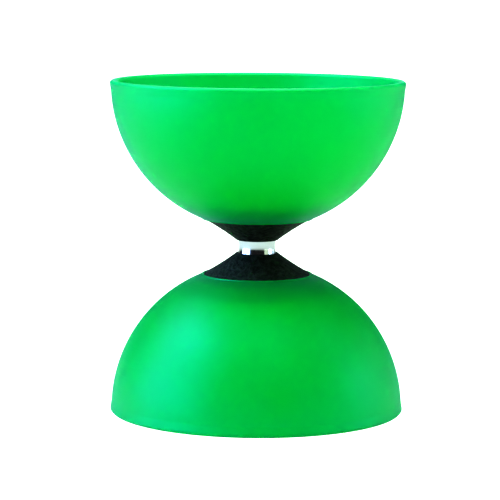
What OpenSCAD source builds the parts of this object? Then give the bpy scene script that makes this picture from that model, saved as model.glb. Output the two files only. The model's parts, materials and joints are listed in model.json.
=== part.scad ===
// Free-wheel diabolo: two open cups back to back on one axle.
// The string runs on a polished sleeve that turns on two ball bearings and a one-way roller clutch.
// Origin at the middle of the axle, +Z along the axle, millimetres.

/* [Cups] */
// Outside diameter of a cup at its rim
rim_d = 125; // [122:0.5:128]
// Length of the whole diabolo from rim to rim
overall_len = 141; // [138:0.5:144]
// Wall thickness of a cup
cup_wall = 2.6; // [2.2:0.1:3]
// Wall thickness of the thicker band around the rim
rim_wall = 3.1; // [2.8:0.1:3.6]
// Height of the band around the rim
rim_band_h = 4.5; // [3:0.5:6]
// Thickness of the bead around a hub's edge
bead_d = 1.2; // [1:0.1:1.4]

/* [Hubs] */
// Gap between the two hub tips, where the string runs
string_gap = 5.5; // [5:0.1:6]
// Diameter of a hub at its tip
hub_tip_d = 17.7; // [17.5:0.1:18.5]
// Diameter of a hub at its outer edge
hub_edge_d = 44.8; // [43:0.2:46]
// Radius of the hollow curve of a hub's flank
hub_flare_r = 120; // [90:10:300]

/* [Sleeve] */
// Diameter of the sleeve at its ends
sleeve_d = 16; // [15.6:0.1:16.2]
// Diameter of the sleeve at its waist
sleeve_waist_d = 15.4; // [15:0.1:15.5]

/* [Inner plates] */
// Diameter of the dished plate inside a cup
plate_d = 64; // [58:1:68]
// Thickness of the plate's flat middle
plate_t = 2.4; // [2:0.1:3]
// Height of the boss under the washer
boss_h = 2.4; // [2:0.1:3]
// Number of stiffening ribs
rib_count = 6; // [4:1:8]

/* [Bearings and clutch] */
// Width of a ball bearing
bearing_w = 4; // [3.6:0.1:4.2]
// Balls in each bearing
ball_count = 8; // [6:1:8]
// Width of the one-way clutch
clutch_w = 8; // [7:0.5:8.5]
// Rollers in the clutch
roller_count = 6; // [6]

/* [Fasteners] */
// Diameter of the shaft where it is threaded
thread_d = 4.98; // [4.9:0.01:4.98]
// Width of the lock nut across its flats
nut_af = 8; // [8:0.5:9]
// Height of the lock nut
nut_h = 5; // [4.7:0.1:6]
// Outside diameter of the clamp washer
washer_d = 15; // [12:0.5:18]
// Thickness of the clamp washer
washer_t = 1.2; // [0.8:0.1:1.6]
// Length of thread past the nut
stub_len = 2.7; // [1.5:0.1:4]

/* [Hidden] */
$fn = 96;

// Gaps: seat between pieces that are clamped or pressed together, turn between pieces that move apart.
seat = 0.01;
turn = 0.35;

// Colours
cup_green = [0, 0.82, 0.38];
hub_black = [0.07, 0.07, 0.08];
bright_steel = [0.78, 0.8, 0.8];
bearing_steel = [0.62, 0.64, 0.67];
insert_blue = [0.15, 0.3, 0.6];
cage_brass = [0.72, 0.56, 0.26];

// Cup: a spherical shell, its centre just inside the rim.
rim_z = overall_len / 2;
rim_r = rim_d / 2;
cup_centre_z = rim_z - 1;
cup_r = rim_r - 0.45;
cup_inner_r = cup_r - cup_wall;
rim_inner_r = rim_r - rim_wall;
rim_chamfer = 0.9;
band_z = rim_z - rim_band_h;
band_step = 0.12;
bead_sunk = 0.35;

// Height at which a sphere of radius ball_r about the cup's centre has radius r.
function bowl_z(ball_r, r) = cup_centre_z - sqrt(ball_r * ball_r - r * r);

// Hub: its edge meets the cup's outer surface.
hub_tip_z = string_gap / 2;
hub_tip_r = hub_tip_d / 2;
hub_edge_r = hub_edge_d / 2;
hub_edge_z = bowl_z(cup_r, hub_edge_r);
hub_edge_h = 1;
floor_z = hub_edge_z + hub_edge_h;
floor_top_z = floor_z + cup_wall;
hub_spigot_r = 13.9;
spigot_gap = 0.2;
edge_gap = 0.15;
flare_chord = [hub_edge_r - hub_tip_r, hub_edge_z - hub_tip_z];
flare_reach = sqrt(hub_flare_r * hub_flare_r - flare_chord * flare_chord / 4);
flare_normal = [flare_chord[1], -flare_chord[0]] / norm(flare_chord);
flare_centre = [hub_tip_r, hub_tip_z] + flare_chord / 2 + flare_reach * flare_normal;

// Shaft and stack of parts along it, from the middle outwards.
bolt_hole_r = 2.6;
thread_r = thread_d / 2;
journal_r = 3;
end_play = 0.1;
shoulder_z = clutch_w / 2 + end_play;
bearing_z = shoulder_z + bearing_w / 2;
bearing_end_z = shoulder_z + bearing_w;
shim_t = 0.6;
shim_r = 3.75;
web_z = bearing_end_z + shim_t;
plate_z = floor_top_z + 2 * seat;
plate_top_z = plate_z + plate_t;
boss_z = plate_top_z + boss_h;
washer_z = boss_z + 2 * seat;
nut_z = washer_z + washer_t + 2 * seat;
shaft_end_z = nut_z + nut_h + stub_len;
shaft_chamfer = 0.5;

// Sleeve
sleeve_r = sleeve_d / 2;
sleeve_bore_r = 5;
sleeve_half = bearing_end_z + end_play;
sleeve_chamfer = 0.3;
waist_half = hub_tip_z;
waist_depth = (sleeve_d - sleeve_waist_d) / 2;
waist_arc_r = (waist_half * waist_half + waist_depth * waist_depth) / (2 * waist_depth);
pocket_r = sleeve_r + turn;

// Ball bearings, 5 x 10 mm
bearing_bore_r = 2.5;
inner_land_r = 3.25;
outer_land_r = 4.3;
ball_r = 0.794;
groove_r = 0.82;
ball_pitch_r = 3.75;
shield_t = 0.2;
shield_z = bearing_w / 2 - 0.4;
shield_seat_z = bearing_w / 2 - 0.6;
shield_seat_r = 4.62;
shield_bore_r = 3.38;
ball_cage_r = [3.42, 4.1];
ball_cage_z = [-0.55, 1.3];
ball_pocket_r = 0.86;

// One-way clutch, 6 x 10 mm
cam_arc_r = 2.6;
cam_offset = 2.1;
cam_angle = 14;
lip_t = 0.55;
lip_r = 3.4;
roller_r = 0.75;
roller_pitch_r = 3.77;
roller_len = clutch_w - 2.4;
clutch_cage_r = [3.2, 4.1];
clutch_cage_half = clutch_w / 2 - lip_t - 0.1;
window_half = roller_len / 2 + 0.05;
window_from = -15;
window_to = 27;
spring_t = 0.1;
spring_half = roller_len / 2 - 0.2;

// Inner plate
plate_r = plate_d / 2;
plate_edge_t = 1.6;
plate_boss_r = 9.5;
rib_t = 1.4;
rib_h = 1.6;
rib_reach = plate_r - 3;

// Lock nut
hex_h = nut_h - 1.4;
collar_r = nut_af / 2 - 0.35;
insert_r = collar_r - 0.45;
insert_h = 1;

// Rectangle from radius r0 to r1 and height z0 to z1, for turning about the axle.
module section(r0, r1, z0, z1) {
    translate([r0, z0])
        square([r1 - r0, z1 - z0]);
}

module ring(r0, r1, z0, z1) {
    rotate_extrude()
        section(r0, r1, z0, z1);
}

// Wedge of a ring from angle a0 to a1
module ring_wedge(r0, r1, z0, z1, a0, a1) {
    rotate([0, 0, a0])
        rotate_extrude(angle = a1 - a0)
            section(r0, r1, z0, z1);
}

module around(count) {
    for (i = [0 : count - 1])
        rotate([0, 0, i * 360 / count])
            children();
}

// The lower half is the upper half turned over.
module lower() {
    mirror([0, 0, 1])
        children();
}

module bowl(ball_r) {
    translate([0, cup_centre_z])
        circle(r = ball_r, $fn = 240);
}

module rim_section() {
    polygon([
        [rim_inner_r, band_z - 1],
        [cup_r - 0.5, band_z - 1],
        [cup_r - 0.5, band_z],
        [cup_r + band_step, band_z],
        [rim_r, rim_z - rim_chamfer],
        [rim_r - rim_chamfer, rim_z],
        [rim_inner_r + rim_chamfer, rim_z],
        [rim_inner_r, rim_z - rim_chamfer],
    ]);
}

module cup_section() {
    bead_r = bead_d / 2;
    bead_at = hub_edge_r + edge_gap + bead_r + 0.05;
    difference() {
        union() {
            intersection() {
                bowl(cup_r);
                section(0, rim_r, 0, band_z + 0.2);
            }
            rim_section();
            translate([bead_at, bowl_z(cup_r, bead_at) + bead_sunk])
                circle(r = bead_r, $fn = 32);
        }
        intersection() {
            bowl(cup_inner_r);
            section(0, rim_r, floor_top_z, band_z);
        }
        section(0, rim_inner_r - 0.01, band_z, rim_z + 1);
        section(0, hub_edge_r + edge_gap, 0, floor_z);
        section(0, hub_spigot_r + spigot_gap, 0, floor_top_z + 1);
    }
}

module cup() {
    color(cup_green)
        rotate_extrude($fn = 240)
            cup_section();
}

module hub_section() {
    difference() {
        union() {
            difference() {
                section(bolt_hole_r, hub_edge_r, hub_tip_z, floor_z - 2 * seat);
                translate(flare_centre)
                    circle(r = hub_flare_r, $fn = 720);
            }
            section(bolt_hole_r, hub_spigot_r, web_z, floor_top_z - 0.1);
        }
        section(0, pocket_r, 0, web_z);
    }
}

// Moulded in pockets on the hub's back, split by ribs that line up with the plate's
module hub() {
    color(hub_black)
        difference() {
            rotate_extrude()
                hub_section();
            around(rib_count) {
                ring_wedge(10.4, 12.6, web_z - 0.6, floor_top_z + 1, 6, 360 / rib_count - 6);
                ring_wedge(15.4, 19, floor_z - 1.4, floor_z + 1, 4, 360 / rib_count - 4);
            }
        }
}

module inner_plate() {
    color(hub_black)
        union() {
            rotate_extrude()
                difference() {
                    intersection() {
                        bowl(cup_inner_r - 2 * seat);
                        section(bolt_hole_r, plate_r, plate_z, cup_centre_z);
                    }
                    intersection() {
                        bowl(cup_inner_r - 2 * seat - plate_edge_t);
                        section(0, plate_r + 1, plate_top_z, cup_centre_z);
                    }
                }
            ring(bolt_hole_r, plate_boss_r, plate_z + 0.5, boss_z);
            around(rib_count)
                intersection() {
                    translate([plate_boss_r - 0.5, -rib_t / 2, plate_z + 0.5])
                        cube([rib_reach - plate_boss_r, rib_t, plate_t + rib_h - 0.5]);
                    translate([0, 0, cup_centre_z])
                        sphere(r = cup_inner_r - 0.5);
                }
        }
}

module clamp_washer() {
    color(bright_steel)
        ring(bolt_hole_r, washer_d / 2, washer_z, washer_z + washer_t);
}

// Hexagon with both ends of its corners turned down, and a thin collar that holds the insert
module lock_nut() {
    corner_r = nut_af / sqrt(3);
    color(bright_steel)
        translate([0, 0, nut_z])
            difference() {
                union() {
                    intersection() {
                        cylinder(r = corner_r, h = hex_h, $fn = 6);
                        rotate_extrude()
                            polygon([
                                [0, 0],
                                [nut_af / 2, 0],
                                [corner_r + 0.2, 0.45],
                                [corner_r + 0.2, hex_h - 0.45],
                                [nut_af / 2, hex_h],
                                [0, hex_h],
                            ]);
                    }
                    cylinder(r = collar_r, h = nut_h);
                }
                translate([0, 0, -1])
                    cylinder(r = bearing_bore_r, h = nut_h + 2);
                translate([0, 0, nut_h - insert_h - 0.3])
                    cylinder(r = insert_r + seat, h = insert_h);
                translate([0, 0, nut_h - 0.4])
                    cylinder(r = insert_r - 0.35, h = 1);
            }
}

module nut_insert() {
    color(insert_blue)
        ring(bearing_bore_r, insert_r, nut_z + nut_h - insert_h - 0.3 + seat, nut_z + nut_h - 0.3 - seat);
}

module bearing_shim() {
    color(bright_steel)
        ring(bearing_bore_r, shim_r, bearing_end_z + seat, web_z - seat);
}

// Bearings are drawn about their own middle and lifted to their place on the shaft.
module at_bearing() {
    translate([0, 0, bearing_z])
        children();
}

module ball_groove() {
    translate([ball_pitch_r, 0])
        circle(r = groove_r, $fn = 48);
}

module bearing_inner_ring() {
    half = bearing_w / 2 - seat;
    color(bearing_steel)
        at_bearing()
            rotate_extrude()
                difference() {
                    section(bearing_bore_r, inner_land_r, -half, half);
                    ball_groove();
                }
}

module bearing_outer_ring() {
    half = bearing_w / 2 - seat;
    color(bearing_steel)
        at_bearing()
            rotate_extrude()
                difference() {
                    section(outer_land_r, sleeve_bore_r - seat, -half, half);
                    ball_groove();
                    section(0, shield_seat_r, shield_seat_z, bearing_w);
                    section(0, shield_seat_r, -bearing_w, -shield_seat_z);
                }
}

module bearing_balls() {
    color(bright_steel)
        at_bearing()
            around(ball_count)
                translate([ball_pitch_r, 0, 0])
                    sphere(r = ball_r, $fn = 48);
}

// Crown cage: a ring on the outer side of the balls, with fingers between them
module bearing_cage() {
    color(cage_brass)
        at_bearing()
            difference() {
                ring(ball_cage_r[0], ball_cage_r[1], ball_cage_z[0], ball_cage_z[1]);
                around(ball_count)
                    translate([ball_pitch_r, 0, 0])
                        sphere(r = ball_pocket_r, $fn = 48);
            }
}

module bearing_shields() {
    color(bearing_steel)
        at_bearing()
            for (side = [-1, 1])
                translate([0, 0, side * shield_z])
                    ring(shield_bore_r, shield_seat_r - seat, -shield_t / 2, shield_t / 2);
}

module axle_shaft() {
    upper_half = [
        [journal_r, shoulder_z],
        [thread_r, shoulder_z],
        [thread_r, shaft_end_z - shaft_chamfer],
        [thread_r - shaft_chamfer, shaft_end_z],
        [0, shaft_end_z],
    ];
    lower_half = [for (i = [len(upper_half) - 1 : -1 : 0]) [upper_half[i][0], -upper_half[i][1]]];
    color(bright_steel)
        rotate_extrude()
            polygon(concat(upper_half, lower_half));
}

module string_sleeve() {
    outer = [
        [sleeve_bore_r, -sleeve_half],
        [sleeve_r - sleeve_chamfer, -sleeve_half],
        [sleeve_r, -sleeve_half + sleeve_chamfer],
        [sleeve_r, sleeve_half - sleeve_chamfer],
        [sleeve_r - sleeve_chamfer, sleeve_half],
        [sleeve_bore_r, sleeve_half],
    ];
    color(bright_steel)
        rotate_extrude()
            difference() {
                polygon(outer);
                translate([sleeve_waist_d / 2 + waist_arc_r, 0])
                    circle(r = waist_arc_r, $fn = 240);
            }
}

// Shell with one ramp over each roller and a lip at both ends
module clutch_shell() {
    half = clutch_w / 2;
    color(bearing_steel)
        difference() {
            cylinder(r = sleeve_bore_r - seat, h = 2 * half, center = true);
            linear_extrude(height = 2 * (half - lip_t), center = true)
                around(roller_count)
                    rotate([0, 0, cam_angle])
                        translate([cam_offset, 0])
                            circle(r = cam_arc_r);
            cylinder(r = lip_r, h = 2 * half + 2, center = true);
        }
}

module clutch_rollers() {
    color(bright_steel)
        around(roller_count)
            translate([roller_pitch_r, 0, 0])
                cylinder(r = roller_r, h = roller_len, center = true, $fn = 48);
}

module clutch_cage() {
    color(cage_brass)
        difference() {
            ring(clutch_cage_r[0], clutch_cage_r[1], -clutch_cage_half, clutch_cage_half);
            around(roller_count)
                ring_wedge(3, 5, -window_half, window_half, window_from, window_to);
        }
}

// Leaf springs folded to a V, each between a roller and the end of its window
module clutch_springs() {
    tip = [3.9, 0.92];
    fold = [3.45, 1.3];
    tail = [3.72, 1.62];
    color(bright_steel)
        around(roller_count)
            linear_extrude(height = 2 * spring_half, center = true)
                polygon([
                    tip,
                    tip + [spring_t, 0],
                    fold + [spring_t * 1.4, 0],
                    tail + [spring_t, -spring_t / 2],
                    tail,
                    fold,
                ]);
}

module upper_cup() { cup(); }
module lower_cup() { lower() cup(); }
module upper_hub() { hub(); }
module lower_hub() { lower() hub(); }
module upper_inner_plate() { inner_plate(); }
module lower_inner_plate() { lower() inner_plate(); }
module upper_clamp_washer() { clamp_washer(); }
module lower_clamp_washer() { lower() clamp_washer(); }
module upper_lock_nut() { lock_nut(); }
module lower_lock_nut() { lower() lock_nut(); }
module upper_nut_insert() { nut_insert(); }
module lower_nut_insert() { lower() nut_insert(); }
module upper_bearing_shim() { bearing_shim(); }
module lower_bearing_shim() { lower() bearing_shim(); }
module upper_bearing_inner_ring() { bearing_inner_ring(); }
module lower_bearing_inner_ring() { lower() bearing_inner_ring(); }
module upper_bearing_outer_ring() { bearing_outer_ring(); }
module lower_bearing_outer_ring() { lower() bearing_outer_ring(); }
module upper_bearing_balls() { bearing_balls(); }
module lower_bearing_balls() { lower() bearing_balls(); }
module upper_bearing_cage() { bearing_cage(); }
module lower_bearing_cage() { lower() bearing_cage(); }
module upper_bearing_shields() { bearing_shields(); }
module lower_bearing_shields() { lower() bearing_shields(); }

upper_cup();
lower_cup();
upper_hub();
lower_hub();
upper_inner_plate();
lower_inner_plate();
upper_clamp_washer();
lower_clamp_washer();
upper_lock_nut();
lower_lock_nut();
upper_nut_insert();
lower_nut_insert();
upper_bearing_shim();
lower_bearing_shim();
upper_bearing_inner_ring();
lower_bearing_inner_ring();
upper_bearing_outer_ring();
lower_bearing_outer_ring();
upper_bearing_balls();
lower_bearing_balls();
upper_bearing_cage();
lower_bearing_cage();
upper_bearing_shields();
lower_bearing_shields();
axle_shaft();
string_sleeve();
clutch_shell();
clutch_rollers();
clutch_cage();
clutch_springs();
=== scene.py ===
"""Looks of the free-wheel diabolo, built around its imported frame.

Almost every piece is round about the axle, so it is swept here in fine rings from its own outline, in
millimetres. The upper half is made first, and the lower half is the same piece turned over. Main sizes
come from the frame.
"""

import json
from math import acos, asin, atan2, cos, pi, radians, sin, sqrt, tan

import bmesh
import bpy
import numpy as np
from mathutils import Euler, Matrix, Vector, noise

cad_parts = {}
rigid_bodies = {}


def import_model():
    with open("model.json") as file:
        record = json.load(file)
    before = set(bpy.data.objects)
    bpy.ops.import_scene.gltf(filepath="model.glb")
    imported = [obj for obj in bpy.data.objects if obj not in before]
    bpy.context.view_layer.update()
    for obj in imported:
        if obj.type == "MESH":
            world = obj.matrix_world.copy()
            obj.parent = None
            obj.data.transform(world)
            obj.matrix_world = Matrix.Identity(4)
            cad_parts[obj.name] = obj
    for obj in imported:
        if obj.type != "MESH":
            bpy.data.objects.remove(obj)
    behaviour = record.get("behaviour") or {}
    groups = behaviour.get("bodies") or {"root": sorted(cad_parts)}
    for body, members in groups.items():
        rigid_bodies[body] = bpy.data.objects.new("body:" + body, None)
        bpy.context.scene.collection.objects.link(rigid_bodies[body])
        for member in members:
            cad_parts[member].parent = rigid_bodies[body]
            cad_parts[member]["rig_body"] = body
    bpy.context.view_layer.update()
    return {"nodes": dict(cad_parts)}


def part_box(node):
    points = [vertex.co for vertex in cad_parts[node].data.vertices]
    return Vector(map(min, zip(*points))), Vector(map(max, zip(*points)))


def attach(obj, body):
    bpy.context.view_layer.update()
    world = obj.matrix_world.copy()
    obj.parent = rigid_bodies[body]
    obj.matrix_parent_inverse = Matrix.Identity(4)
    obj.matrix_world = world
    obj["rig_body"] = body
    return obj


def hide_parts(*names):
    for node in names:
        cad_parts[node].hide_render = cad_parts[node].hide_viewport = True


MM = 0.001
TURN_OVER = Matrix.Rotation(pi, 4, "X")
SHARP_ANGLE = radians(50)

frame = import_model()
scene = bpy.context.scene


def reach(node):
    """Lowest and highest height and outermost radius of a CAD node, in millimetres."""
    low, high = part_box(node)
    return low.z / MM, high.z / MM, max(high.x, high.y) / MM


# ---------------------------------------------------------------- sizes, in millimetres

# Cup
_, RIM_Z, RIM_R = reach("upper_cup")
RIM_FLARE = 0.45
CUP_WALL = 2.6
RIM_WALL = 3.1
BAND_H = 4.5
BAND_BLEND = 1.0
BAND_ROUND = 10
CUP_CENTRE_Z = RIM_Z - 1
CUP_R = RIM_R - RIM_FLARE
CUP_INNER_R = CUP_R - CUP_WALL
RIM_INNER_R = RIM_R - RIM_WALL
BAND_Z = RIM_Z - BAND_H
LIP_CHAMFER = 0.9
LIP_ROUND = 0.8
BEAD_R = 0.6
BEAD_SUNK = 0.35
BEAD_ENDS = (radians(206), radians(344))
HUB_RECESS_GAP = 0.15
SPIGOT_GAP = 0.2

# Hub and what it stands on
HUB_TIP_Z, HUB_TOP_Z, HUB_EDGE_R = reach("upper_hub")
HUB_TIP_R = 8.85
HUB_FLARE_R = 120
HUB_EDGE_H = 1.0
HUB_SPIGOT_R = 13.9
POCKET_R = 8.35
POCKET_TOP_Z = 8.7
BOLT_HOLE_R = 2.6
HUB_SEAT_GAP = 0.02
# Pockets in the hub's back: degrees from one to the next, and how far their walls lean in
POCKET_PITCH = 60
POCKET_DRAFT = 0.1
# Each pocket: inner and outer radius, height of its floor, and degrees from a rib's middle to its wall
SPIGOT_POCKET = (10.4, 12.6, 8.1, 6)
BACK_POCKET = (15.4, 19.0, 11.23, 4)

# Shaft, washer and nut
_, SHAFT_END_Z, JOURNAL_R = reach("axle_shaft")
THREAD_R = 2.49
THREAD_ROOT_R = 2.12
THREAD_PITCH = 0.8
THREAD_START_Z = 9.2
THREAD_STEPS = 12
# Shares of the thread's pitch that its flat crest and its two flanks take up. A flat root takes the rest.
THREAD_CREST = 0.15
THREAD_FLANK = 0.75
WASHER_LOW_Z, WASHER_HIGH_Z, WASHER_R = reach("upper_clamp_washer")
NUT_LOW_Z, NUT_HIGH_Z, NUT_CORNER_R = reach("upper_lock_nut")
NUT_FLAT_R = NUT_CORNER_R * cos(pi / 6)
NUT_COLLAR_H = 1.4
NUT_COLLAR_R = NUT_FLAT_R - 0.35
NUT_BEVEL = 0.45
NUT_LIP = 0.35
INSERT_GAP = 0.01
INSERT_LOW_Z, INSERT_HIGH_Z, INSERT_R = reach("upper_nut_insert")
SHOULDER_Z = 4.1
SHOULDER_CHAMFER = 0.2
SHAFT_CHAMFER = 0.5
SHAFT_CENTRE_R = 0.8

# Sleeve
_, SLEEVE_HALF, SLEEVE_R = reach("string_sleeve")
SLEEVE_WAIST_R = 7.7
SLEEVE_BORE_R = 5.0

# Plate
PLATE_LOW_Z, _, PLATE_R = reach("upper_inner_plate")
PLATE_BOSS_R = 9.5
PLATE_T = 2.4
PLATE_BOSS_H = 2.4
PLATE_TOP_Z = PLATE_LOW_Z + PLATE_T
PLATE_BOSS_Z = PLATE_TOP_Z + PLATE_BOSS_H
PLATE_EDGE_T = 1.6
PLATE_GAP = 0.02
RIB_COUNT = 6
RIB_T = 1.4
RIB_H = 1.6
RIB_TOP_Z = PLATE_TOP_Z + RIB_H
RIB_END_R = PLATE_R - 3

# Bearings and clutch
BEARING_LOW_Z, BEARING_HIGH_Z, _ = reach("upper_bearing_outer_ring")
BEARING_Z = (BEARING_LOW_Z + BEARING_HIGH_Z) / 2
BEARING_HALF = (BEARING_HIGH_Z - BEARING_LOW_Z) / 2
BEARING_BORE_R = 2.5
INNER_LAND_R = 3.25
OUTER_LAND_R = 4.3
SHIELD_R = 4.62
SHIELD_BORE_R = 3.38
SHIELD_INSET = 0.39
SHIELD_T = 0.2
SHIELD_SEAT_INSET = 0.59
RING_GAP = 0.01
BALL_R = 0.794
BALL_PITCH_R = 3.75
BALL_COUNT = 8
GROOVE_R = 0.82
SHIM_LOW_Z, SHIM_HIGH_Z, SHIM_R = reach("upper_bearing_shim")
ROLLER_R = 0.75
ROLLER_PITCH_R = 3.77
ROLLER_COUNT = 6
_, ROLLER_HALF, _ = reach("clutch_rollers")


# ---------------------------------------------------------------- outlines

# A rounding takes up at most this share of the edge on each side, and its margin is at most this wide
LONGEST_RUN = 0.48
WIDEST_MARGIN = 0.15


def rounded(corners, steps=6):
    """Turns (r, z, rounding) corners of a closed outline into points. A rounding is an arc's radius.

    A corner without a rounding stays one point. A point just outside each end of an arc keeps the flat
    beside it flat.
    """
    points = []
    for i, corner in enumerate(corners):
        here = Vector(corner[:2])
        radius = corner[2] if len(corner) > 2 else 0
        if not radius:
            points.append(tuple(here))
            continue
        back = Vector(corners[i - 1][:2]) - here
        ahead = Vector(corners[(i + 1) % len(corners)][:2]) - here
        turn = back.angle(ahead)
        back_dir = back.normalized()
        ahead_dir = ahead.normalized()
        run = min(radius / tan(turn / 2), LONGEST_RUN * back.length, LONGEST_RUN * ahead.length)
        radius = run * tan(turn / 2)
        centre = here + (back_dir + ahead_dir).normalized() * radius / sin(turn / 2)
        start = here + back_dir * run - centre
        end = here + ahead_dir * run - centre
        margin = min(WIDEST_MARGIN, 0.25 * run)
        points.append(tuple(here + back_dir * (run + margin)))
        sweep = start.angle_signed(end)
        for k in range(steps + 1):
            angle = -sweep * k / steps
            cosine, sine = cos(angle), sin(angle)
            spoke = Vector((start.x * cosine - start.y * sine, start.x * sine + start.y * cosine))
            points.append(tuple(centre + spoke))
        points.append(tuple(here + ahead_dir * (run + margin)))
    return points


def arc(centre, radius, start, end, steps):
    """Points of an arc from angle start to end, in radians, counted from outwards towards +Z."""
    angles = spread(start, end, steps)
    return [(centre[0] + radius * cos(a), centre[1] + radius * sin(a)) for a in angles]


def bowl_angle(radius, r=None, z=None):
    """Angle, for arc(), of the point of a bowl's lower half that lies at radius r or height z."""
    return -acos(r / radius) if z is None else asin((z - CUP_CENTRE_Z) / radius)


def bowl_z(radius, r):
    """Height of a bowl's lower half at radius r."""
    return CUP_CENTRE_Z - sqrt(radius * radius - r * r)


def spread(start, end, steps):
    """Evenly spaced values from start to end, both included."""
    return [start + (end - start) * k / steps for k in range(steps + 1)]


# ---------------------------------------------------------------- meshes


def ring_mesh(name, rings, closed=True):
    """A mesh through rings of points, in millimetres. Closed joins the last ring to the first.

    Otherwise each end closes on its own centre.
    """
    grid = np.array(rings, float)
    count, around, _ = grid.shape
    points = grid.reshape(-1, 3)
    spans = count if closed else count - 1
    faces = []
    for i in range(spans):
        a, b = i * around, (i + 1) % count * around
        faces += [(a + j, a + (j + 1) % around, b + (j + 1) % around, b + j) for j in range(around)]
    if not closed:
        first, last = len(points), len(points) + 1
        points = np.vstack([points, grid[0].mean(0), grid[-1].mean(0)])
        end = (count - 1) * around
        faces += [(first, (j + 1) % around, j) for j in range(around)]
        faces += [(last, end + j, end + (j + 1) % around) for j in range(around)]
    mesh = bpy.data.meshes.new(name)
    mesh.from_pydata((points * MM).tolist(), [], faces)
    tidy(mesh)
    return mesh


def tidy(mesh):
    """Faces point outwards and are smooth, apart from true corners."""
    bm = bmesh.new()
    bm.from_mesh(mesh)
    bmesh.ops.remove_doubles(bm, verts=bm.verts, dist=1e-7)
    bmesh.ops.recalc_face_normals(bm, faces=bm.faces)
    bm.to_mesh(mesh)
    bm.free()
    mesh.shade_smooth()
    mesh.set_sharp_from_angle(angle=SHARP_ANGLE)


def turned(name, outline, around=192, closed=True):
    """A piece turned on a lathe from an outline of (r, z) points."""
    angles = [2 * pi * j / around for j in range(around)]
    rings = [[(r * cos(a), r * sin(a), z) for a in angles] for r, z in outline]
    return ring_mesh(name, rings, closed)


def joined(name, meshes):
    """One mesh from several, each kept as a closed solid of its own."""
    bm = bmesh.new()
    for mesh in meshes:
        bm.from_mesh(mesh)
    result = bpy.data.meshes.new(name)
    bm.to_mesh(result)
    bm.free()
    result.shade_smooth()
    result.set_sharp_from_angle(angle=SHARP_ANGLE)
    return result


def moved(mesh, matrix):
    """A moved copy of a mesh."""
    copy = mesh.copy()
    copy.transform(matrix)
    return copy


def around_axle(mesh, count):
    """Copies of a mesh, evenly round the axle."""
    return [moved(mesh, Matrix.Rotation(2 * pi * i / count, 4, "Z")) for i in range(count)]


def piece(name, mesh, node, material):
    """Shows a mesh in place of a CAD node, on the body that carries that node."""
    made = bpy.data.objects.new(name, mesh)
    scene.collection.objects.link(made)
    mesh.materials.clear()
    mesh.materials.append(material)
    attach(made, frame["nodes"][node]["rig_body"])
    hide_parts(node)
    return made


def both_halves(name, mesh, material):
    """Shows a mesh as the upper piece, and turned over as the lower one."""
    lower = moved(mesh, TURN_OVER)
    piece(f"upper_{name}_shown", mesh, f"upper_{name}", material)
    piece(f"lower_{name}_shown", lower, f"lower_{name}", material)


# ---------------------------------------------------------------- node helpers


def add(tree, kind, settings=None, **inputs):
    """Adds a node. Inputs are named after its sockets with _ for a space, and are values or sockets."""
    made = tree.nodes.new(kind)
    for key, value in (settings or {}).items():
        setattr(made, key, value)
    for key, value in inputs.items():
        fill(tree, made.inputs[key.replace("_", " ")], value)
    return made


def fill(tree, socket, value):
    """Links a socket to an input, or sets the input to a value."""
    if isinstance(value, bpy.types.NodeSocket):
        tree.links.new(value, socket)
    else:
        socket.default_value = value


def principled(name, **inputs):
    """A material with one Principled shader, and its tree. Other inputs are set as in add()."""
    material = bpy.data.materials.new(name)
    material.use_nodes = True
    tree = material.node_tree
    tree.nodes.clear()
    shader = add(tree, "ShaderNodeBsdfPrincipled", **inputs)
    output = tree.nodes.new("ShaderNodeOutputMaterial")
    tree.links.new(shader.outputs[0], output.inputs["Surface"])
    return material, tree, shader


def place(tree):
    """The point being shaded, in the object's own frame, in millimetres."""
    where = tree.nodes.new("ShaderNodeTexCoord").outputs["Object"]
    scaled = add(tree, "ShaderNodeVectorMath", {"operation": "SCALE"}, Vector=where, Scale=1 / MM)
    return scaled.outputs[0]


def round_place(tree):
    """Radius and height of the point being shaded, in millimetres, for marks that run round the axle."""
    split = add(tree, "ShaderNodeSeparateXYZ", Vector=place(tree))
    flat = add(tree, "ShaderNodeCombineXYZ", X=split.outputs["X"], Y=split.outputs["Y"], Z=0)
    radius = add(tree, "ShaderNodeVectorMath", {"operation": "LENGTH"}, Vector=flat.outputs[0])
    height = split.outputs["Z"]
    return add(tree, "ShaderNodeCombineXYZ", X=radius.outputs["Value"], Y=height, Z=0).outputs[0]


def grain(tree, where, size, detail=2.0, rough=0.5):
    """Noise whose lumps are about size millimetres across, from 0 to 1."""
    made = add(tree, "ShaderNodeTexNoise", Vector=where, Scale=1 / size, Detail=detail, Roughness=rough)
    return made.outputs["Fac"]


def between(tree, value, low, high, start=0.3, end=0.7):
    """Stretches value, from start to end, over low to high."""
    made = add(
        tree, "ShaderNodeMapRange", Value=value, From_Min=start, From_Max=end, To_Min=low, To_Max=high
    )
    return made.outputs[0]


def blended(tree, value, first, second):
    """A colour from first to second as value goes from 0 to 1."""
    made = add(tree, "ShaderNodeMix", {"data_type": "RGBA"})
    colours = [socket for socket in made.inputs if socket.type == "RGBA"]
    fill(tree, made.inputs["Factor"], value)
    fill(tree, colours[0], (*first, 1))
    fill(tree, colours[1], (*second, 1))
    return [socket for socket in made.outputs if socket.type == "RGBA"][0]


def bumped(tree, shader, height, depth, strength=1.0, under=None):
    """Raises the surface by height times depth millimetres, on top of another bump if one is given."""
    made = add(tree, "ShaderNodeBump", Height=height, Distance=depth * MM, Strength=strength)
    if under:
        tree.links.new(under, made.inputs["Normal"])
    tree.links.new(made.outputs[0], shader.inputs["Normal"])
    return made.outputs[0]


# ---------------------------------------------------------------- materials


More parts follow.
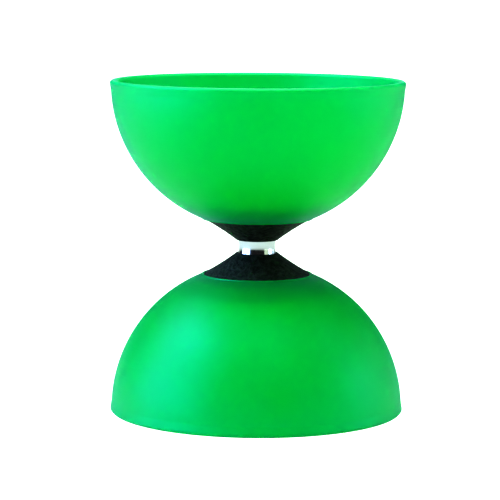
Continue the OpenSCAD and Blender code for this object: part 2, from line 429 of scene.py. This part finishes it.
def cup_plastic():
    """Translucent green: light soaks a few millimetres into it, over a soft satin surface. Its colour
    turns bluer from the hub to the rim, a painted cyan glow that is weakest by the hub.
    """
    material, tree, shader = principled(
        "translucent_green",
        Subsurface_Weight=1.0,
        Subsurface_Radius=(0.3, 1.0, 0.6),
        Subsurface_Scale=3.0 * MM,
        Transmission_Weight=0.75,
        IOR=1.6,
        Specular_IOR_Level=1.0,
        Specular_Tint=(0.0, 1.0, 1.0, 1),
        Sheen_Weight=0.2,
        Sheen_Roughness=0.5,
        Sheen_Tint=(0.0, 0.8, 1.0, 1),
    )
    where = place(tree)
    height = add(tree, "ShaderNodeMath", {"operation": "ABSOLUTE"})
    fill(tree, height.inputs[0], add(tree, "ShaderNodeSeparateXYZ", Vector=where).outputs["Z"])
    cloud = between(tree, grain(tree, where, 28), -6, 6)
    cloudy = add(tree, "ShaderNodeMath", {"operation": "ADD"})
    fill(tree, cloudy.inputs[0], height.outputs[0])
    fill(tree, cloudy.inputs[1], cloud)
    # Painted cyan glow: the base colour gets bluer with height from the hub to the rim, with a cloudy
    # edge, and stays plain green by the hub
    painted_glow_to_rim = between(tree, cloudy.outputs[0], 0, 1, start=HUB_TOP_Z, end=RIM_Z)
    colour = blended(tree, painted_glow_to_rim, (0.0, 0.84, 0.02), (0.0, 0.88, 0.18))
    fill(tree, shader.inputs["Base Color"], colour)
    scuffs = grain(tree, round_place(tree), 0.5, detail=4, rough=0.7)
    smear = grain(tree, where, 14, detail=3)
    mix = add(tree, "ShaderNodeMath", {"operation": "MULTIPLY"})
    fill(tree, mix.inputs[0], scuffs)
    fill(tree, mix.inputs[1], smear)
    roughness = between(tree, mix.outputs[0], 0.42, 0.52, start=0.12, end=0.4)
    fill(tree, shader.inputs["Roughness"], roughness)
    peel = bumped(tree, shader, grain(tree, where, 2.2), 0.02)
    bumped(tree, shader, grain(tree, where, 0.25, detail=3), 0.004, under=peel)
    return material


def hub_plastic():
    """Black plastic with a coarse spark-eroded grain."""
    material, tree, shader = principled(
        "black_grained_plastic", Specular_IOR_Level=0.4, Specular_Tint=(0.85, 1.0, 0.75, 1)
    )
    where = place(tree)
    coarse = grain(tree, where, 1.8, detail=3, rough=0.55)
    fine = grain(tree, where, 0.22, detail=4, rough=0.7)
    mottle = between(tree, coarse, 0, 1, start=0.4, end=0.62)
    colour = blended(tree, mottle, (0.001, 0.002, 0.001), (0.024, 0.03, 0.021))
    fill(tree, shader.inputs["Base Color"], colour)
    fill(tree, shader.inputs["Roughness"], between(tree, fine, 0.42, 0.7))
    under = bumped(tree, shader, coarse, 0.7)
    bumped(tree, shader, fine, 0.06, under=under)
    return material


def plate_plastic():
    """Black satin moulding with a fine even grain."""
    material, tree, shader = principled("black_satin_plastic", Specular_IOR_Level=0.5)
    where = place(tree)
    fine = grain(tree, where, 0.3, detail=3)
    cloud = grain(tree, where, 9)
    colour = blended(tree, cloud, (0.008, 0.008, 0.009), (0.018, 0.018, 0.019))
    fill(tree, shader.inputs["Base Color"], colour)
    fill(tree, shader.inputs["Roughness"], between(tree, cloud, 0.38, 0.52))
    bumped(tree, shader, fine, 0.012)
    return material


def metal(name, colour, worn, roughness, line_size, line_depth):
    """Turned metal: fine rings round the axle, and cloudy duller patches in a second colour."""
    material, tree, shader = principled(name, Metallic=1.0)
    where = place(tree)
    cloud = grain(tree, where, 3.5, detail=4, rough=0.6)
    lines = grain(tree, round_place(tree), line_size, detail=3, rough=0.7)
    fill(tree, shader.inputs["Base Color"], blended(tree, cloud, colour, worn))
    fill(tree, shader.inputs["Roughness"], between(tree, cloud, roughness[0], roughness[1]))
    bumped(tree, shader, lines, line_depth)
    return material


def moulded(name, colour, deep, roughness, size=0.4, depth=0.01, scatter=0.0):
    """Small moulded plastic piece."""
    material, tree, shader = principled(name, Subsurface_Weight=scatter, Subsurface_Scale=0.5 * MM)
    where = place(tree)
    cloud = grain(tree, where, 2.5, detail=3)
    fill(tree, shader.inputs["Base Color"], blended(tree, cloud, deep, colour))
    fill(tree, shader.inputs["Roughness"], between(tree, cloud, roughness[0], roughness[1]))
    bumped(tree, shader, grain(tree, where, size, detail=3), depth)
    return material


CUP = cup_plastic()
HUB = hub_plastic()
PLATE = plate_plastic()
SLEEVE = metal("polished_steel", (0.8, 0.81, 0.84), (0.72, 0.74, 0.77), (0.08, 0.16), 0.12, 0.0008)
SHAFT = metal("plain_steel", (0.6, 0.6, 0.59), (0.45, 0.44, 0.42), (0.25, 0.42), 0.08, 0.004)
ZINC = metal("zinc_plate", (0.56, 0.58, 0.6), (0.42, 0.44, 0.48), (0.22, 0.4), 0.15, 0.004)
NUT = metal("bright_zinc_plate", (0.7, 0.71, 0.73), (0.55, 0.57, 0.62), (0.25, 0.42), 0.2, 0.003)
RING_STEEL = metal("ground_steel", (0.58, 0.59, 0.61), (0.5, 0.5, 0.52), (0.12, 0.25), 0.05, 0.001)
BALL_STEEL = metal("lapped_steel", (0.8, 0.8, 0.82), (0.74, 0.74, 0.76), (0.04, 0.1), 0.4, 0.0005)
SHIELD_STEEL = metal("pressed_steel", (0.62, 0.63, 0.64), (0.52, 0.53, 0.55), (0.2, 0.35), 0.1, 0.002)
SPRING_STEEL = metal("blued_steel", (0.5, 0.5, 0.54), (0.36, 0.37, 0.44), (0.2, 0.36), 0.1, 0.001)
BRASS = metal("pressed_brass", (0.72, 0.52, 0.22), (0.5, 0.34, 0.13), (0.25, 0.45), 0.1, 0.003)
NYLON_BLUE = moulded("blue_nylon", (0.05, 0.16, 0.5), (0.03, 0.1, 0.36), (0.35, 0.5), scatter=0.2)
NYLON = moulded("natural_nylon", (0.66, 0.58, 0.4), (0.55, 0.47, 0.3), (0.4, 0.55), scatter=0.3)


# ---------------------------------------------------------------- cup


def cup_outline():
    """From the spigot's hole out under the floor, up the outside, over the rim and down the inside.

    Small offsets between its parts keep neighbouring points from falling on each other.
    """
    recess_r = HUB_EDGE_R + HUB_RECESS_GAP
    floor_z = bowl_z(CUP_R, HUB_EDGE_R) + HUB_EDGE_H
    floor_top_z = floor_z + CUP_WALL
    bead_at = recess_r + BEAD_R + 0.05
    bead_z = bowl_z(CUP_R, bead_at) + BEAD_SUNK
    hole_r = HUB_SPIGOT_R + SPIGOT_GAP
    bead = arc((bead_at, bead_z), BEAD_R, *BEAD_ENDS, 14)
    outer_start = bowl_angle(CUP_R, r=bead[-1][0] + 0.12)
    outer_end = bowl_angle(CUP_R, z=BAND_Z - BAND_BLEND)
    outer = arc((0, CUP_CENTRE_Z), CUP_R, outer_start, outer_end, 110)
    band_r = CUP_R * cos(bowl_angle(CUP_R, z=BAND_Z))
    inner_start = bowl_angle(CUP_INNER_R, z=BAND_Z)
    inner_end = bowl_angle(CUP_INNER_R, z=floor_top_z + 0.35)
    inner = arc((0, CUP_CENTRE_Z), CUP_INNER_R, inner_start, inner_end, 100)
    flat_r = CUP_INNER_R * cos(bowl_angle(CUP_INNER_R, z=floor_top_z))
    return rounded([
        (hole_r, floor_z, 0.25),
        (recess_r, floor_z, 0.1),
        (recess_r, bead[0][1] + 0.1, 0.05),
        *bead,
        *outer,
        (band_r, BAND_Z, BAND_ROUND),
        (RIM_R, RIM_Z - LIP_CHAMFER, LIP_ROUND),
        (RIM_R - LIP_CHAMFER, RIM_Z, LIP_ROUND),
        (RIM_INNER_R + LIP_CHAMFER, RIM_Z, LIP_ROUND),
        (RIM_INNER_R, RIM_Z - LIP_CHAMFER, LIP_ROUND),
        *inner,
        (flat_r - 1.2, floor_top_z),
        (hole_r, floor_top_z, 0.25),
    ], steps=8)


both_halves("cup", turned("cup", cup_outline(), around=300), CUP)


# ---------------------------------------------------------------- hub


def hub_outline():
    """Points (r, z, sunk). Sunk is the height that a point has inside a pocket of the hub's back."""
    edge_z = bowl_z(CUP_R, HUB_EDGE_R)
    seat_z = edge_z + HUB_EDGE_H - HUB_SEAT_GAP
    tip = Vector((HUB_TIP_R, HUB_TIP_Z))
    edge = Vector((HUB_EDGE_R, edge_z))
    chord = edge - tip
    off = Vector((chord.y, -chord.x)).normalized() * sqrt(HUB_FLARE_R**2 - chord.length_squared / 4)
    centre = (tip + edge) / 2 + off
    start = atan2(tip.y - centre.y, tip.x - centre.x)
    end = atan2(edge.y - centre.y, edge.x - centre.x)
    flank = arc(centre, HUB_FLARE_R, start, end, 90)
    # Each run of corners starts and ends with a neighbour's corner, which only sets the direction there
    sleeve_pocket = rounded([
        (BOLT_HOLE_R, POCKET_TOP_Z),
        (POCKET_R, POCKET_TOP_Z, 0.2),
        (POCKET_R, HUB_TIP_Z, 0.12),
        flank[0],
    ])[1:-1]
    rim = rounded([flank[-1], (HUB_EDGE_R, seat_z, 0.2), (HUB_SPIGOT_R, seat_z)])[1:-1]
    spigot = rounded([
        (HUB_EDGE_R, seat_z),
        (HUB_SPIGOT_R, seat_z, 0.2),
        (HUB_SPIGOT_R, HUB_TOP_Z, 0.3),
        (POCKET_R, HUB_TOP_Z),
    ])[1:-1]
    bolt_hole = rounded([
        (HUB_SPIGOT_R, HUB_TOP_Z),
        (BOLT_HOLE_R, HUB_TOP_Z, 0.2),
        (BOLT_HOLE_R, POCKET_TOP_Z, 0.2),
        (POCKET_R, POCKET_TOP_Z),
    ])[1:-1]
    outline = [
        *sleeve_pocket,
        *flank,
        *rim,
        *pocket_rings(BACK_POCKET, seat_z),
        *spigot,
        *pocket_rings(SPIGOT_POCKET, HUB_TOP_Z),
        *bolt_hole,
    ]
    return [(*point, point[1]) if len(point) == 2 else point for point in outline]


def pocket_rings(pocket, z):
    """Rings at the walls of a ring of pockets, from its outer wall to its inner one."""
    inner_r, outer_r, floor_z, _ = pocket
    return [
        (outer_r, z, z),
        (outer_r - POCKET_DRAFT, z, floor_z),
        (inner_r + POCKET_DRAFT, z, floor_z),
        (inner_r, z, z),
    ]


def hub_mesh(around=420):
    """A hub with pockets in its back and a rough flank."""
    rings = []
    for r, z, sunk in hub_outline():
        ring = []
        for j in range(around):
            angle = 360 * j / around
            wall = BACK_POCKET[3] if r > HUB_SPIGOT_R else SPIGOT_POCKET[3]
            in_pocket = wall < angle % POCKET_PITCH < POCKET_PITCH - wall
            height = sunk if in_pocket else z
            ring.append((r * cos(radians(angle)), r * sin(radians(angle)), height))
        rings.append(ring)
    mesh = ring_mesh("hub", rings)
    roughen(mesh)
    return mesh


def roughen(mesh, depth=0.1, size=1.1):
    """Presses a coarse grain into a hub's flank, which stays within the smooth surface."""
    normals = np.zeros(len(mesh.vertices) * 3, np.float32)
    mesh.vertices.foreach_get("normal", normals)
    points = np.zeros(len(mesh.vertices) * 3, np.float32)
    mesh.vertices.foreach_get("co", points)
    normals, points = normals.reshape(-1, 3), points.reshape(-1, 3) / MM
    radii = np.hypot(points[:, 0], points[:, 1])
    on_flank = (normals[:, 2] < -0.4) & (radii > HUB_TIP_R + 0.2) & (radii < HUB_EDGE_R - 0.1)
    on_flank &= points[:, 2] < POCKET_TOP_Z + 3
    fall_off, finer, octaves = 0.8, 2.1, 3
    for i in np.flatnonzero(on_flank):
        where = Vector(points[i] / size)
        lump = noise.fractal(where, fall_off, finer, octaves, noise_basis="PERLIN_ORIGINAL")
        points[i] -= normals[i] * depth * min(1.0, max(0.0, 0.5 + 0.8 * lump))
    mesh.vertices.foreach_set("co", points.ravel() * MM)
    mesh.update()


both_halves("hub", hub_mesh(), HUB)


# ---------------------------------------------------------------- sleeve


def sleeve_outline():
    """A plain tube with a shallow waist where it shows between the hubs."""
    half = HUB_TIP_Z
    depth = SLEEVE_R - SLEEVE_WAIST_R
    waist_r = (half * half + depth * depth) / (2 * depth)
    reach_angle = asin(half / waist_r)
    waist = arc((SLEEVE_WAIST_R + waist_r, 0), waist_r, pi + reach_angle, pi - reach_angle, 40)
    return rounded([
        (SLEEVE_BORE_R, -SLEEVE_HALF, 0.15),
        (SLEEVE_R, -SLEEVE_HALF, 0.3),
        *waist,
        (SLEEVE_R, SLEEVE_HALF, 0.3),
        (SLEEVE_BORE_R, SLEEVE_HALF, 0.15),
    ])


sleeve = turned("sleeve", sleeve_outline(), around=256)
piece("string_sleeve_shown", sleeve, "string_sleeve", SLEEVE)


# ---------------------------------------------------------------- inner plate


def plate_outline():
    """Points (r, z, on top), from the bolt hole out along the underside and back over the top."""
    under_r = CUP_INNER_R - PLATE_GAP
    over_r = under_r - PLATE_EDGE_T
    flat_under = sqrt(under_r**2 - (CUP_CENTRE_Z - PLATE_LOW_Z) ** 2)
    flat_over = sqrt(over_r**2 - (CUP_CENTRE_Z - PLATE_TOP_Z) ** 2)
    under = rounded([
        (BOLT_HOLE_R, PLATE_BOSS_Z),
        (BOLT_HOLE_R, PLATE_LOW_Z, 0.2),
        (flat_under - 0.3, PLATE_LOW_Z),
        *[(r, bowl_z(under_r, r)) for r in spread(flat_under + 0.4, PLATE_R - 0.4, 12)],
        (PLATE_R, bowl_z(under_r, PLATE_R), 0.25),
        (PLATE_R, bowl_z(over_r, PLATE_R)),
    ])
    over = rounded([
        (PLATE_R, bowl_z(under_r, PLATE_R)),
        (PLATE_R, bowl_z(over_r, PLATE_R), 0.5),
        *[(r, bowl_z(over_r, r)) for r in spread(PLATE_R - 0.6, flat_over + 0.2, 24)],
        *[(r, PLATE_TOP_Z) for r in spread(flat_over - 0.3, PLATE_BOSS_R + 0.7, 14)],
        (PLATE_BOSS_R, PLATE_TOP_Z, 0.5),
        (PLATE_BOSS_R, PLATE_BOSS_Z, 0.35),
        (BOLT_HOLE_R, PLATE_BOSS_Z, 0.2),
        (BOLT_HOLE_R, PLATE_LOW_Z),
    ])
    underside = [(*point, False) for point in under[1:-1]]
    topside = [(*point, True) for point in over[1:-1]]
    return underside + topside


def rib_columns():
    """Signed distances from a rib's middle, each with a drop from its top or a rise above the plate."""
    half = RIB_T / 2
    side = [
        (half * 0.6, "drop", 0.0),
        (half - 0.12, "drop", 0.03),
        (half - 0.03, "drop", 0.12),
        (half, "drop", 0.25),
        (half + 0.02, "rise", 0.25),
        (half + 0.06, "rise", 0.12),
        (half + 0.16, "rise", 0.03),
        (half + 0.3, "rise", 0.0),
    ]
    left = [(-offset, kind, amount) for offset, kind, amount in reversed(side)]
    return left + [(0.0, "drop", 0.0)] + side


def plate_mesh(between_ribs=12):
    """A dished plate whose top rises into ribs. Its columns run along each rib's sides."""
    columns = rib_columns()
    rings = []
    for r, z, on_top in plate_outline():
        ribbed = on_top and PLATE_BOSS_R - 0.6 < r < RIB_END_R
        ring = []
        for k in range(RIB_COUNT):
            middle = 2 * pi * k / RIB_COUNT
            for offset, kind, amount in columns:
                height = z
                if ribbed:
                    side = RIB_TOP_Z - amount if kind == "drop" else min(RIB_TOP_Z, z + amount)
                    height = max(z, side)
                ring.append((middle + asin(offset / r), height))
            gap = asin(columns[-1][0] / r)
            for angle in spread(middle + gap, middle + 2 * pi / RIB_COUNT - gap, between_ribs + 1)[1:-1]:
                ring.append((angle, z))
        rings.append([(r * cos(angle), r * sin(angle), height) for angle, height in ring])
    return ring_mesh("plate", rings)


both_halves("inner_plate", plate_mesh(), PLATE)


# ---------------------------------------------------------------- washer, nut and shaft


def ring_outline(inner_r, outer_r, low_z, high_z, rounding):
    """A flat ring with rounded edges."""
    corners = [(inner_r, low_z), (outer_r, low_z), (outer_r, high_z), (inner_r, high_z)]
    return rounded([(*corner, rounding) for corner in corners], steps=3)


def nut_mesh(around=144):
    """Hexagon nut with the ends of its corners turned down, and a collar rolled over the nylon ring."""
    hex_top = NUT_HIGH_Z - NUT_COLLAR_H
    hex_z = [NUT_LOW_Z + NUT_BEVEL * k / 4 for k in range(5)]
    hex_z += [hex_top - NUT_BEVEL * k / 4 for k in range(4, -1, -1)]
    outline = [
        (BEARING_BORE_R, NUT_LOW_Z + 0.3),
        (BEARING_BORE_R + 0.3, NUT_LOW_Z),
        (NUT_FLAT_R - 0.2, NUT_LOW_Z),
    ]
    # A height without a radius lies on the hexagon
    outline += [(None, z) for z in hex_z]
    outline += rounded([
        (NUT_FLAT_R - 0.05, hex_top),
        (NUT_COLLAR_R, hex_top, 0.15),
        (NUT_COLLAR_R, NUT_HIGH_Z, 0.45),
        (INSERT_R - NUT_LIP, NUT_HIGH_Z, 0.08),
        (INSERT_R - NUT_LIP, INSERT_HIGH_Z + INSERT_GAP),
        (INSERT_R, INSERT_HIGH_Z + INSERT_GAP),
        (INSERT_R, INSERT_LOW_Z - INSERT_GAP),
        (BEARING_BORE_R, INSERT_LOW_Z - INSERT_GAP),
    ])
    rings = []
    for r, z in outline:
        ring = []
        for j in range(around):
            angle = 2 * pi * j / around
            if r is None:
                from_flat = (angle % (pi / 3)) - pi / 6
                from_end = min(z - NUT_LOW_Z, hex_top - z)
                turned_r = NUT_FLAT_R + (NUT_CORNER_R + 0.2 - NUT_FLAT_R) * from_end / NUT_BEVEL
                radius = min(NUT_FLAT_R / cos(from_flat), turned_r, NUT_CORNER_R - 0.06)
            else:
                radius = r
            ring.append((radius * cos(angle), radius * sin(angle), z))
        rings.append(ring)
    return ring_mesh("nut", rings)


def thread_depth(angle, z):
    """How far a right-hand thread lies under its crest. Its crests and roots are flat."""
    turn = (z / THREAD_PITCH - angle / (2 * pi)) % 1
    cut = 1 - abs(2 * turn - 1)
    fade = min(1, max(0, (abs(z) - THREAD_START_Z) / THREAD_PITCH))
    deepness = min(1, max(0, (cut - THREAD_CREST) / THREAD_FLANK))
    return fade * (THREAD_R - THREAD_ROOT_R) * deepness


def shaft_mesh(around=72):
    """Shaft with a thicker middle for the clutch, bearing seats and a thread on each end."""
    step = THREAD_PITCH / THREAD_STEPS
    end_z = SHAFT_END_Z - SHAFT_CHAMFER
    count = round((end_z - THREAD_START_Z) / step)
    shoulder = [
        (JOURNAL_R, SHOULDER_Z - SHOULDER_CHAMFER),
        (JOURNAL_R - SHOULDER_CHAMFER, SHOULDER_Z),
        (THREAD_R, SHOULDER_Z),
        (THREAD_R, SHOULDER_Z + 0.2),
        (THREAD_R, THREAD_START_Z - 0.1),
    ]
    threaded = [(THREAD_R, z) for z in spread(THREAD_START_Z, end_z, count)]
    chamfer = [(THREAD_R - SHAFT_CHAMFER * k / 4, end_z + SHAFT_CHAMFER * k / 4) for k in range(1, 5)]
    upper = shoulder + threaded + chamfer + [(SHAFT_CENTRE_R, SHAFT_END_Z)]
    outline = [(r, -z) for r, z in reversed(upper)] + upper
    rings = []
    for r, z in outline:
        ring = []
        for j in range(around):
            angle = 2 * pi * j / around
            radius = r
            if abs(z) > THREAD_START_Z:
                radius = min(r, THREAD_R - thread_depth(angle, z))
            ring.append((radius * cos(angle), radius * sin(angle), z))
        rings.append(ring)
    return ring_mesh("shaft", rings, closed=False)


washer_outline = ring_outline(BOLT_HOLE_R, WASHER_R, WASHER_LOW_Z, WASHER_HIGH_Z, 0.15)
washer = turned("washer", washer_outline, around=128)
both_halves("clamp_washer", washer, ZINC)
both_halves("lock_nut", nut_mesh(), NUT)
insert_outline = ring_outline(BEARING_BORE_R, INSERT_R - INSERT_GAP, INSERT_LOW_Z, INSERT_HIGH_Z, 0.1)
insert = turned("insert", insert_outline, around=96)
both_halves("nut_insert", insert, NYLON_BLUE)
piece("axle_shaft_shown", shaft_mesh(), "axle_shaft", SHAFT)


# ---------------------------------------------------------------- bearings and clutch rollers


def groove(side, steps=10):
    """The ball groove's arc as it cuts a ring's inner (+1) or outer (-1) land, from below upwards."""
    land_r = INNER_LAND_R if side > 0 else OUTER_LAND_R
    across = acos(abs(BALL_PITCH_R - land_r) / GROOVE_R)
    middle = pi if side > 0 else 0
    half_turn = across if side > 0 else -across
    return arc((BALL_PITCH_R, BEARING_Z), GROOVE_R, middle + half_turn, middle - half_turn, steps)


def inner_ring_outline():
    return rounded([
        (BEARING_BORE_R, BEARING_HIGH_Z, 0.15),
        (BEARING_BORE_R, BEARING_LOW_Z, 0.15),
        (INNER_LAND_R, BEARING_LOW_Z, 0.08),
        *groove(1),
        (INNER_LAND_R, BEARING_HIGH_Z, 0.08),
    ])


def outer_ring_outline():
    """An outer ring with a seat for a shield on each side of its groove."""
    outer_r = SLEEVE_BORE_R - RING_GAP
    seat = BEARING_HALF - SHIELD_SEAT_INSET
    return rounded([
        (SHIELD_R, BEARING_LOW_Z),
        (outer_r, BEARING_LOW_Z, 0.15),
        (outer_r, BEARING_HIGH_Z, 0.15),
        (SHIELD_R, BEARING_HIGH_Z),
        (SHIELD_R, BEARING_Z + seat),
        (OUTER_LAND_R, BEARING_Z + seat),
        *reversed(groove(-1)),
        (OUTER_LAND_R, BEARING_Z - seat),
        (SHIELD_R, BEARING_Z - seat),
    ])


def shield_outline(side):
    """Thin pressed ring on one face of a bearing."""
    z = BEARING_Z + side * (BEARING_HALF - SHIELD_INSET)
    return ring_outline(SHIELD_BORE_R, SHIELD_R - RING_GAP, z - SHIELD_T / 2, z + SHIELD_T / 2, 0.04)


def ball(x, z):
    """A ball of many rings, closed at its poles."""
    outline = [(BALL_R * cos(a), BALL_R * sin(a)) for a in spread(-pi / 2, pi / 2, 20)[1:-1]]
    mesh = turned("ball", outline, around=40, closed=False)
    return moved(mesh, Matrix.Translation((x * MM, 0, z * MM)))


def roller():
    """A roller with rounded ends, upright beside the shaft."""
    end_r = 0.3
    outline = rounded([
        (end_r, -ROLLER_HALF),
        (ROLLER_R, -ROLLER_HALF, 0.12),
        (ROLLER_R, ROLLER_HALF, 0.12),
        (end_r, ROLLER_HALF),
    ])
    mesh = turned("roller", outline, around=40, closed=False)
    return moved(mesh, Matrix.Translation((ROLLER_PITCH_R * MM, 0, 0)))


inner_ring = turned("inner_ring", inner_ring_outline(), around=128)
both_halves("bearing_inner_ring", inner_ring, RING_STEEL)
outer_ring = turned("outer_ring", outer_ring_outline(), around=128)
both_halves("bearing_outer_ring", outer_ring, RING_STEEL)
shields = joined("shields", [turned("shield", shield_outline(side), around=128) for side in (-1, 1)])
both_halves("bearing_shields", shields, SHIELD_STEEL)
balls = joined("balls", around_axle(ball(BALL_PITCH_R, BEARING_Z), BALL_COUNT))
both_halves("bearing_balls", balls, BALL_STEEL)
shim = turned("shim", ring_outline(BEARING_BORE_R, SHIM_R, SHIM_LOW_Z, SHIM_HIGH_Z, 0.06), around=96)
both_halves("bearing_shim", shim, ZINC)
rollers = joined("rollers", around_axle(roller(), ROLLER_COUNT))
piece("clutch_rollers_shown", rollers, "clutch_rollers", BALL_STEEL)


# ---------------------------------------------------------------- carried-over CAD pieces

KEPT = {
    "upper_bearing_cage": BRASS,
    "lower_bearing_cage": BRASS,
    "clutch_shell": RING_STEEL,
    "clutch_cage": NYLON,
    "clutch_springs": SPRING_STEEL,
}
for node, material in KEPT.items():
    slots = frame["nodes"][node].data.materials
    slots.clear()
    slots.append(material)


# ---------------------------------------------------------------- floor, light and camera

# Brightness of the floor and the room as the object receives it, and as the camera sees it
FLOOR_GLOW = 0.33
ROOM_GLOW = 0.02
CAMERA_WHITE = 1.5
# Floor: distance from its middle to an edge in metres, gap under the rim in millimetres, and colours
FLOOR_HALF = 12
FLOOR_GAP = 0.05
FLOOR_GREY = (0.3, 0.3, 0.3)
FLOOR_TINT = (0.8, 1.0, 0.84)
# Panels: distance and size in metres
PANEL_DISTANCE = 1.2
PANEL_SIZE = (0.55, 0.6)
TOP_PANEL_SIZE = (0.9, 0.9)
PALE_LIME = (0.85, 1.0, 0.7)
PALE_GREEN = (0.8, 1.0, 0.7)
PALE_CYAN = (0.65, 0.9, 1.0)
BLUE = (0.4, 0.63, 1.0)
DEEP_BLUE = (0.36, 0.56, 1.0)
# Name, azimuth and elevation in degrees, power in watts, colour and size
PANELS = [
    ("top", 0, 89, 7.0, PALE_LIME, TOP_PANEL_SIZE),
    ("top_back", 180, 65, 9.5, PALE_LIME, PANEL_SIZE),
    ("left_high", -90, 42, 7.6, BLUE, PANEL_SIZE),
    ("left_front_high", -60, 42, 4.1, BLUE, PANEL_SIZE),
    ("left_front", -60, 8, 4.6, BLUE, PANEL_SIZE),
    ("left", -90, 8, 5.2, DEEP_BLUE, PANEL_SIZE),
    ("left_back_high", -120, 42, 1.9, DEEP_BLUE, PANEL_SIZE),
    ("right", 90, 8, 2.7, PALE_CYAN, PANEL_SIZE),
    ("right_front", 60, 8, 0.7, PALE_GREEN, PANEL_SIZE),
    ("right_front_high", 60, 42, 0.7, PALE_GREEN, PANEL_SIZE),
    ("right_back", 120, 8, 0.9, PALE_CYAN, PANEL_SIZE),
    ("right_high", 90, 42, 1.0, PALE_CYAN, PANEL_SIZE),
    ("front_high", 15, 50, 2.0, PALE_GREEN, PANEL_SIZE),
    ("back", 180, 20, 0.9, PALE_CYAN, PANEL_SIZE),
]
# Camera: focal length and sensor width in millimetres, place in metres, and tilts in degrees
FOCAL_LENGTH = 169.7
SENSOR_WIDTH = 36
CAMERA_PLACE = (-0.0030, -0.995, 0.1257)
CAMERA_DOWN = 7.30
CAMERA_ROLL = 0.32


def seen_by_camera(tree, low, high):
    """The value low for every ray, and high for those that come straight from the camera."""
    direct = tree.nodes.new("ShaderNodeLightPath").outputs["Is Camera Ray"]
    return add(tree, "ShaderNodeMapRange", Value=direct, To_Min=low, To_Max=high).outputs[0]


def floor():
    """A pale floor that shows as pure white."""
    half = FLOOR_HALF
    z = -(RIM_Z + FLOOR_GAP) * MM
    corners = [(-half, -half, z), (half, -half, z), (half, half, z), (-half, half, z)]
    mesh = bpy.data.meshes.new("floor")
    mesh.from_pydata(corners, [], [(0, 1, 2, 3)])
    made = bpy.data.objects.new("floor", mesh)
    scene.collection.objects.link(made)
    material, tree, shader = principled(
        "floor", Base_Color=(*FLOOR_GREY, 1), Roughness=0.9, Specular_IOR_Level=0.1
    )
    fill(tree, shader.inputs["Emission Color"], (*FLOOR_TINT, 1))
    fill(tree, shader.inputs["Emission Strength"], seen_by_camera(tree, FLOOR_GLOW, CAMERA_WHITE))
    mesh.materials.append(material)


def world():
    """A dark room in which the camera sees white."""
    made = bpy.data.worlds.new("studio")
    made.use_nodes = True
    tree = made.node_tree
    back = tree.nodes["Background"]
    back.inputs["Color"].default_value = (1, 1, 1, 1)
    fill(tree, back.inputs["Strength"], seen_by_camera(tree, ROOM_GLOW, CAMERA_WHITE))
    scene.world = made


def panel(name, azimuth, elevation, power, colour, size):
    """A soft light that faces the object. Azimuth 0 is the camera's side, and 90 is +X."""
    light = bpy.data.lights.new(name, "AREA")
    light.shape = "RECTANGLE"
    light.size, light.size_y = size
    light.energy = power
    light.color = colour
    a, e = radians(azimuth), radians(elevation)
    direction = Vector((sin(a) * cos(e), -cos(a) * cos(e), sin(e)))
    made = bpy.data.objects.new(name, light)
    scene.collection.objects.link(made)
    made.location = direction * PANEL_DISTANCE
    made.rotation_euler = (-direction).to_track_quat("-Z", "Y").to_euler()
    made.visible_camera = False


def camera():
    """The camera, in front of the object and a little above it."""
    data = bpy.data.cameras.new("camera")
    data.lens = FOCAL_LENGTH
    data.sensor_width = SENSOR_WIDTH
    data.clip_start = 0.05
    data.clip_end = 60
    made = bpy.data.objects.new("camera", data)
    scene.collection.objects.link(made)
    tilt = Euler((radians(90 - CAMERA_DOWN), 0, 0)).to_matrix()
    aim = tilt @ Matrix.Rotation(radians(CAMERA_ROLL), 3, "Z")
    made.location = CAMERA_PLACE
    made.rotation_euler = aim.to_euler()
    scene.camera = made


floor()
world()
for settings in PANELS:
    panel(*settings)
camera()
scene.view_settings.view_transform = "Standard"
scene.view_settings.look = "High Contrast"
